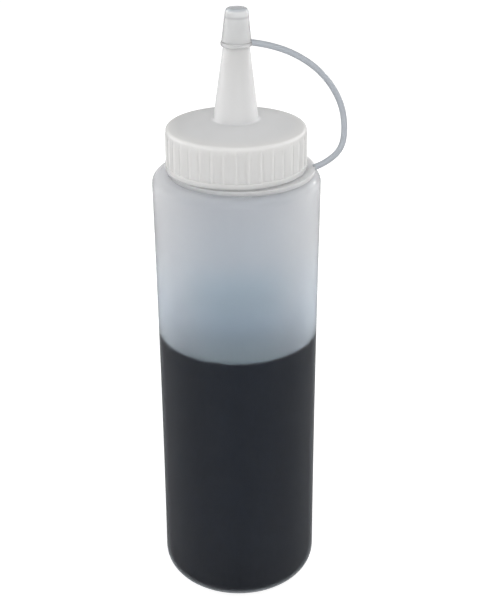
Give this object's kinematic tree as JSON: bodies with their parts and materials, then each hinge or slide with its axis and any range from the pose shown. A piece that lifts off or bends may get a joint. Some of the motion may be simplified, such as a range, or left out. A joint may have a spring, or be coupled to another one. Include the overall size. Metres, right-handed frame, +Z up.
{
  "type": "squeeze bottle",
  "caption": "Milky soft plastic squeeze bottle, half full of dark sauce, with a ribbed screw cap, a tapered nozzle and a small tip cap on a curved strap.",
  "frame": {"origin": "centre of the base, on the plane that the bottle stands on", "axes": "+Z up along the bottle's axis, +X towards the side that the strap bends out to, -Y towards the front"},
  "size_m": [0.0574, 0.05, 0.188],
  "materials": {
    "milky_plastic": "milky translucent polyethylene, softly glossy",
    "sauce": "dark liquid",
    "cap_plastic": "milky white polyethylene, softly glossy",
    "tether_plastic": "milky translucent polyethylene, softly glossy"
  },
  "bodies": {
    "root": {"bottle": "milky_plastic", "sauce": "sauce", "screw_cap": "cap_plastic", "tether_cap": "tether_plastic"}
  },
  "joints": []
}
